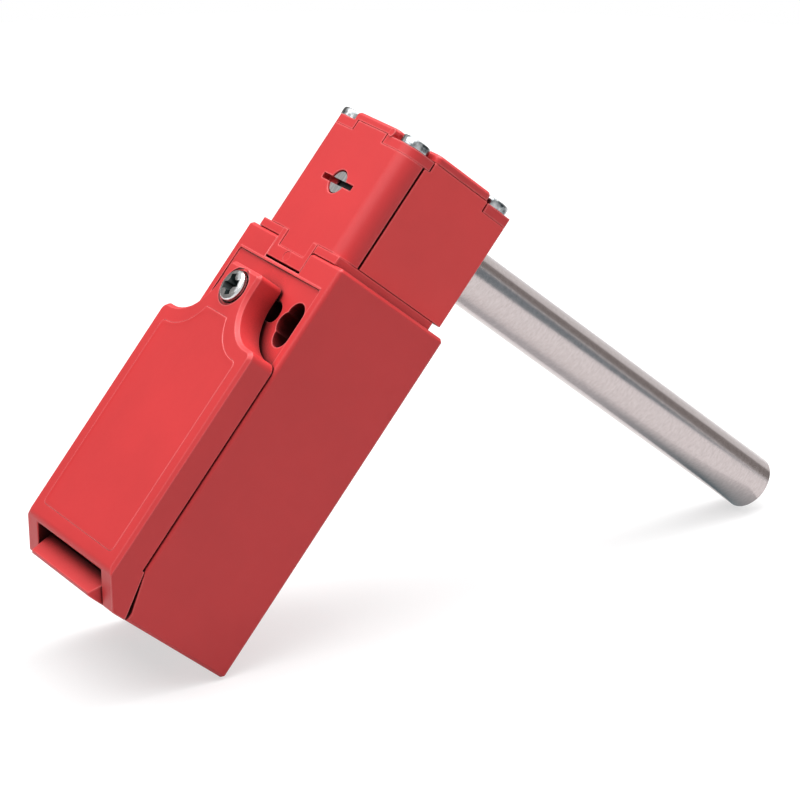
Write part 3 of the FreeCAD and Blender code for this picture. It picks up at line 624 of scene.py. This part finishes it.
# Front cover
# A red moulding with a tongue and two scalloped shoulders. It hooks under the body's foot and one screw
# through its tongue holds it. A low bead runs round its sunk panel, and a collar stands round the screw.
cover_rounding = 0.00025
cover = moulding("front_cover", cover_rounding, red_plastic)


def sunk_panel():
    """The floor of the cover's sunk panel, as one face."""
    bm = merged_copy("front_cover")
    panel = max((f for f in bm.faces if f.normal.y < frontward), key=lambda f: f.calc_area())
    bmesh.ops.delete(bm, geom=[f for f in bm.faces if f is not panel], context="FACES")
    return bm


# The bead is what is left of a plate on the panel after a recess is cut into the plate.
bead_width = 0.0006
bead_rise = 0.0002
bead_edge = 0.00015
bead_slope = 0.00025
plate_root = 0.0002
crest_turn = 1
plate = sunk_panel()
bmesh.ops.translate(plate, verts=plate.verts, vec=(0, plate_root, 0))
raised = bmesh.ops.extrude_face_region(plate, geom=plate.faces[:], use_keep_orig=True)
crest = [item for item in raised["geom"] if isinstance(item, bmesh.types.BMVert)]
bmesh.ops.translate(plate, verts=crest, vec=(0, -plate_root - bead_rise, 0))
bmesh.ops.recalc_face_normals(plate, faces=plate.faces)
bent_edges = [e for e in plate.edges if e.calc_face_angle(0) > crest_turn]
crest_edges = [e for e in bent_edges if all(v in crest for v in e.verts)]
bmesh.ops.bevel(plate, geom=crest_edges, offset=bead_edge, offset_type="OFFSET", affect="EDGES", segments=2,
                profile=0.5, material=-1)
shape_with(cover, plate, "UNION")

recess_height = 0.001
outline_spacing = 0.0004
outline_rounds = 40
recess = sunk_panel()
for edge in recess.edges[:]:
    cuts = int(edge.calc_length() / outline_spacing)
    if cuts:
        bmesh.ops.bisect_edges(recess, edges=[edge], cuts=cuts)
for step in range(outline_rounds):
    bmesh.ops.smooth_vert(recess, verts=recess.verts, factor=0.5, use_axis_x=True, use_axis_y=True,
                          use_axis_z=True)
rim = bmesh.ops.inset_region(recess, faces=recess.faces[:], thickness=bead_width - bead_slope,
                             use_boundary=True, use_even_offset=True)
bmesh.ops.delete(recess, geom=rim["faces"], context="FACES")
bmesh.ops.inset_region(recess, faces=recess.faces[:], thickness=bead_slope, use_boundary=True,
                       use_even_offset=True)
brim = [e for e in recess.edges if e.is_boundary]
bmesh.ops.translate(recess, verts=list({v for e in brim for v in e.verts}), vec=(0, -bead_rise, 0))
wall = bmesh.ops.extrude_edge_only(recess, edges=brim)
lifted = [item for item in wall["geom"] if isinstance(item, bmesh.types.BMVert)]
bmesh.ops.translate(recess, verts=lifted, vec=(0, -recess_height, 0))
bmesh.ops.holes_fill(recess, edges=[e for e in recess.edges if e.is_boundary], sides=0)
bmesh.ops.recalc_face_normals(recess, faces=recess.faces)
shape_with(cover, recess, "DIFFERENCE")

# A collar makes the screw's pocket shallower.
cover_screw_low, cover_screw_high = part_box("cover_screw")
cover_screw_height = 0.0015
screw_seat = cover_screw_low.y + cover_screw_height
screw_z = (cover_screw_low.z + cover_screw_high.z) / 2
collar_bore = 0.00295
collar_radius = 0.0036
collar_rise = 0.0004
collar_edge = 0.0001
collar_steps = 64
collar_root = screw_seat + collar_edge
collar_top = screw_seat - collar_rise
collar_line = [(collar_bore, collar_root), (collar_radius, collar_root), (collar_radius, collar_top),
               (collar_bore + collar_edge, collar_top), (collar_bore, collar_top + collar_edge),
               (collar_bore, collar_root)]
collar_outline = [(r, y, screw_z) for r, y in collar_line]
shape_with(cover, turned_solid(collar_outline, (0, 0, screw_z), (0, 1, 0), collar_steps), "UNION")
smooth(cover)
stand_for(cover, "front_cover", "body")


# Screws
# Cold-headed steel pan screws with a cross recess, zinc plated: one in the cover's tongue and four in the
# lid's corners, whose zinc is mottled with dark spots, partly stains and partly painted dark reflections. The
# recesses are lined with the painted shade of the slots.
bright_zinc = new_finish("bright_zinc", (0.66, 0.67, 0.68), roughness=0.16, metallic=1.0)
vary_colour(bright_zinc, cells=700, light=(0.78, 0.79, 0.80), dark=(0.46, 0.48, 0.49), detail=3)
vary_roughness(bright_zinc, cells=1400, low=0.08, high=0.22, detail=3)
raise_grain(bright_zinc, cells=750, depth=0.0002, strength=0.35, detail=3)
zinc_stains_and_painted_reflections = new_finish("zinc_stains_and_painted_reflections", (0.40, 0.41, 0.42), roughness=0.2, metallic=1.0)
vary_colour(zinc_stains_and_painted_reflections, cells=850, light=(0.52, 0.54, 0.55), dark=(0.07, 0.08, 0.085))
vary_roughness(zinc_stains_and_painted_reflections, cells=1400, low=0.1, high=0.3, detail=3)
raise_grain(zinc_stains_and_painted_reflections, cells=1100, depth=0.0002, strength=0.35, detail=3)

wing_foot = 0.35
wing_top = math.sqrt(0.5)


def wing(length, width, depth, top, degrees):
    """Tapered box for one bar of a cross recess, from top down to depth below it."""
    bm = bmesh.new()
    bmesh.ops.create_cone(bm, cap_ends=True, segments=4, radius1=wing_foot, radius2=wing_top, depth=1.0)
    rotate(bm, 45, "Z")
    bmesh.ops.scale(bm, verts=bm.verts, vec=(length, width, depth))
    bmesh.ops.translate(bm, verts=bm.verts, vec=(0, 0, top - depth / 2))
    rotate(bm, degrees, "Z")
    return bm


head_profile = [(0, 1), (0.5, 0.99), (0.78, 0.955), (0.92, 0.88), (0.98, 0.76), (1, 0.6), (1, 0.05),
                (0.97, 0)]
screw_steps = 48
screw_bend = 32
arm_length = 1.42
arm_width = 0.46
arm_depth = 1.3
heart_length = 0.9
heart_width = 0.42
recess_margin = 0.0001


def pan_screw(name, radius, height, shank_radius, length, turn, zinc):
    """Screw along Z with its head on z = 0, and with its cross recess turned by so many radians."""
    outline = [(r * radius, 0, z * height) for r, z in head_profile]
    outline += [(shank_radius, 0, 0), (shank_radius, 0, -length), (0, 0, -length)]
    screw = new_piece(turned_solid(outline, (0, 0, 0), (0, 0, 1), screw_steps), name, zinc)
    above = height + recess_margin
    for quarter in (0, 90):
        degrees = math.degrees(turn) + quarter
        arm = wing(arm_length * radius, arm_width * radius, arm_depth * height, above, degrees)
        shape_with(screw, arm, "DIFFERENCE", slot_shade)
        heart = wing(heart_length * radius, heart_width * radius, height, above, degrees + 45)
        shape_with(screw, heart, "DIFFERENCE", slot_shade)
    smooth(screw, screw_bend)
    return screw


cover_screw_radius = (cover_screw_high.x - cover_screw_low.x) / 2
cover_screw_length = cover_screw_high.y - cover_screw_low.y - cover_screw_height
cover_shank_radius = 0.0018
cover_screw_turn = 0.35
cover_screw = pan_screw("cover_pan_screw", cover_screw_radius, cover_screw_height, cover_shank_radius,
                        cover_screw_length, cover_screw_turn, bright_zinc)
facing_front = Matrix.Rotation(math.radians(90), 4, "X")
cover_screw.data.transform(Matrix.Translation((0, screw_seat, screw_z)) @ facing_front)
stand_for(cover_screw, "cover_screw", "body")

lid_screw_low, lid_screw_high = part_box("head_screws")
lid_screw_radius = 0.0026
lid_screw_height = 0.0016
lid_screw_length = lid_screw_high.z - lid_screw_low.z - lid_screw_height
lid_shank_radius = 0.0012
first_turn = 0.3
next_turn = 0.47
right_x = lid_screw_high.x - lid_screw_radius
left_x = -right_x
front_y = lid_screw_low.y + lid_screw_radius
rear_y = lid_screw_high.y - lid_screw_radius
lid_corners = [(left_x, front_y), (right_x, front_y), (right_x, rear_y), (left_x, rear_y)]
for index, (x, y) in enumerate(lid_corners):
    screw = pan_screw(f"lid_pan_screw_{index + 1}", lid_screw_radius, lid_screw_height, lid_shank_radius,
                      lid_screw_length, first_turn + next_turn * index, zinc_stains_and_painted_reflections)
    screw.data.transform(Matrix.Translation((x, y, lid_screw_high.z - lid_screw_height)))
    stand_for(screw, "head_screws", "body")


# Table, curtains and light
# The switch leans on the rear edge of its foot and on the far end of its shaft, on a white table under a
# large soft lamp, with a smaller one above it and a weak one at its side. Grey curtains round the table give
# the metal something dark to mirror, and a card under the shaft shows in the shaft as a painted shadow of the
# shaft on the table.
def seen_by(owner, *rays):
    """Socket that is 1 for the named kinds of ray and 0 for the rest."""
    path = add_node(owner, "ShaderNodeLightPath")
    seen = path.outputs[rays[0]]
    for ray in rays[1:]:
        either = add_node(owner, "ShaderNodeMath")
        either.operation = "MAXIMUM"
        owner.node_tree.links.new(seen, either.inputs[0])
        connect(owner, path, ray, either, 1)
        seen = either.outputs["Value"]
    return seen


foot_to_tip = Vector((0, shaft_high.y, shaft_low.z - body_low.z))
table_normal = Vector((0, -foot_to_tip.z, foot_to_tip.y)).normalized()
table_place = Vector((0, 0, body_low.z))
table_radius = 0.42
table_sides = 96
table_glow = 0.62
lean = Matrix.Translation(table_place) @ table_normal.to_track_quat("Z", "Y").to_matrix().to_4x4()
table_bm = bmesh.new()
bmesh.ops.create_circle(table_bm, cap_ends=True, segments=table_sides, radius=table_radius)
bmesh.ops.transform(table_bm, matrix=lean, verts=table_bm.verts)
white_table = new_finish("white_table", (0.40, 0.40, 0.40), roughness=0.9, specular=0.1)
table_shader = shader_of(white_table)
table_shader.inputs["Emission Color"].default_value = (1, 1, 1, 1)
glow = add_node(white_table, "ShaderNodeMath")
glow.operation = "MULTIPLY"
glow.inputs[1].default_value = table_glow
white_table.node_tree.links.new(seen_by(white_table, "Is Camera Ray", "Is Glossy Ray"), glow.inputs[0])
connect(white_table, glow, "Value", table_shader, "Emission Strength")
side = add_node(white_table, "ShaderNodeNewGeometry")
clear = add_node(white_table, "ShaderNodeBsdfTransparent")
one_sided = add_node(white_table, "ShaderNodeMixShader")
connect(white_table, side, "Backfacing", one_sided, "Fac")
connect(white_table, table_shader, "BSDF", one_sided, 1)
connect(white_table, clear, "BSDF", one_sided, 2)
connect(white_table, one_sided, "Shader", white_table.node_tree.nodes["Material Output"], "Surface")
table = new_piece(table_bm, "table", white_table)
table.visible_shadow = False


def mirrored_card(bm, name, colour):
    """Card beside the switch that only shows in shiny surfaces."""
    material = new_finish(name, (0, 0, 0), roughness=1.0, specular=0.0)
    shader = shader_of(material)
    shader.inputs["Emission Color"].default_value = (*colour, 1)
    shader.inputs["Emission Strength"].default_value = 1.0
    card = new_piece(bm, name, material)
    card.visible_camera = False
    card.visible_diffuse = False
    card.visible_shadow = False
    card.visible_transmission = False
    return material


curtain_radius = 0.34
curtain_height = 0.26
curtain_steps = 30
curtains = {"cool_curtain": (40, 67, (0.28, 0.345, 0.38)),
            "warm_curtain": (70, 91, (0.33, 0.31, 0.30)),
            "far_curtain": (140, 270, (0.31, 0.29, 0.28))}
for name, (first_angle, last_angle, colour) in curtains.items():
    cloth = bmesh.new()
    hem = [cloth.verts.new((curtain_radius, 0, z)) for z in (0, curtain_height)]
    hem_line = cloth.edges.new(hem)
    bmesh.ops.spin(cloth, geom=hem + [hem_line], cent=(0, 0, 0), axis=(0, 0, 1),
                   angle=math.radians(last_angle - first_angle), steps=curtain_steps)
    rotate(cloth, first_angle, "Z")
    bmesh.ops.transform(cloth, matrix=lean, verts=cloth.verts)
    mirrored_card(cloth, name, colour)

# The card under the shaft is a painted shadow of the shaft on the table, seen only in the shaft's reflection:
# it darkens towards the shaft's tip and fades to white towards one side.
table_slope = -table_normal.y / table_normal.z
card_lift = 0.0003
card_foot = table_place.z + card_lift
card_outline = [(0.011, 0.020), (0.011, 0.0875), (0.0005, 0.0875), (-0.0052, 0.0785), (-0.0115, 0.064),
                (-0.0377, 0.020)]
painted_shadow_card = bmesh.new()
card_corners = [painted_shadow_card.verts.new((x, y, card_foot + table_slope * y)) for x, y in card_outline]
bmesh.ops.contextual_create(painted_shadow_card, geom=card_corners)
card_grey = mirrored_card(painted_shadow_card, "painted_shadow_card", (0.5, 0.5, 0.5))
card_place = add_node(card_grey, "ShaderNodeTexCoord")
card_axes = add_node(card_grey, "ShaderNodeSeparateXYZ")
connect(card_grey, card_place, "Object", card_axes, 0)
towards_tip = add_node(card_grey, "ShaderNodeMapRange", From_Min=0.058, From_Max=0.080)
connect(card_grey, card_axes, "Y", towards_tip, "Value")
card_shades = add_node(card_grey, "ShaderNodeValToRGB")
card_shades.color_ramp.elements[0].color = (0.72, 0.73, 0.75, 1)
card_shades.color_ramp.elements[1].color = (0.19, 0.25, 0.275, 1)
connect(card_grey, towards_tip, "Result", card_shades, "Fac")
card_fade = add_node(card_grey, "ShaderNodeMapRange", From_Min=0.010, From_Max=-0.001)
connect(card_grey, card_axes, "X", card_fade, "Value")
fade, light_side, dark_side, faded = colour_mix(card_grey, "MIX")
light_side.default_value = (1, 1, 1, 1)
card_links = card_grey.node_tree.links
card_links.new(card_fade.outputs["Result"], fade)
card_links.new(card_shades.outputs["Color"], dark_side)
card_links.new(faded, shader_of(card_grey).inputs["Emission Color"])

middle = Vector((0, 0.02, 0))


def lamp(name, offset, size, power):
    """Square soft lamp that faces the middle of the switch from an offset to it."""
    light = bpy.data.lights.new(name, "AREA")
    light.shape = "SQUARE"
    light.size = size
    light.energy = power
    holder = bpy.data.objects.new(name, light)
    holder.location = middle + Vector(offset)
    holder.rotation_mode = "QUATERNION"
    holder.rotation_quaternion = (-Vector(offset)).to_track_quat("-Z", "Y")
    bpy.context.scene.collection.objects.link(holder)
    return holder


lamp("key", offset=(-0.02, -0.75, 0.56), size=1.05, power=12.0)
lamp("top", offset=(-0.106, -0.16, 0.907), size=0.6, power=7.0)
side_fill = lamp("side", offset=(0.9, 0.0, 0.15), size=1.0, power=1.1)
side_fill.data.color = (0.93, 0.96, 1.0)
side_fill.visible_glossy = False

world = bpy.data.worlds.new("room")
bpy.context.scene.world = world
world.use_nodes = True
ambient = world.node_tree.nodes["Background"]
ambient.inputs["Color"].default_value = (0.90, 0.96, 1.0, 1)
ambient.inputs["Strength"].default_value = 0.11
white = add_node(world, "ShaderNodeBackground", Color=(1, 1, 1, 1), Strength=1.0)
pick = add_node(world, "ShaderNodeMixShader")
white_rays = seen_by(world, "Is Camera Ray", "Is Glossy Ray", "Is Transmission Ray")
world.node_tree.links.new(white_rays, pick.inputs["Fac"])
connect(world, ambient, "Background", pick, 1)
connect(world, white, "Background", pick, 2)
connect(world, pick, "Shader", world.node_tree.nodes["World Output"], "Surface")


# Camera
# It stands to the front and right of the switch, a good way off, and is rolled, so that the body leans
# in the picture and the shaft comes down to the right.
camera_place = Vector((0.49646, -0.34877, -0.02161))
view_line = Vector((-0.80991, 0.58542, 0.03654)).normalized()
rough_up = Vector((-0.29477, -0.46008, 0.83752))
view_right = view_line.cross(rough_up).normalized()
view_up = view_right.cross(view_line)
camera_turn = Matrix((view_right, view_up, -view_line)).transposed()
camera_data = bpy.data.cameras.new("camera")
camera_data.lens = 162.87
camera_data.sensor_width = 36.0
camera = bpy.data.objects.new("camera", camera_data)
camera.matrix_world = Matrix.Translation(camera_place) @ camera_turn.to_4x4()
bpy.context.scene.collection.objects.link(camera)
bpy.context.scene.camera = camera
bpy.context.scene.view_settings.view_transform = "Standard"
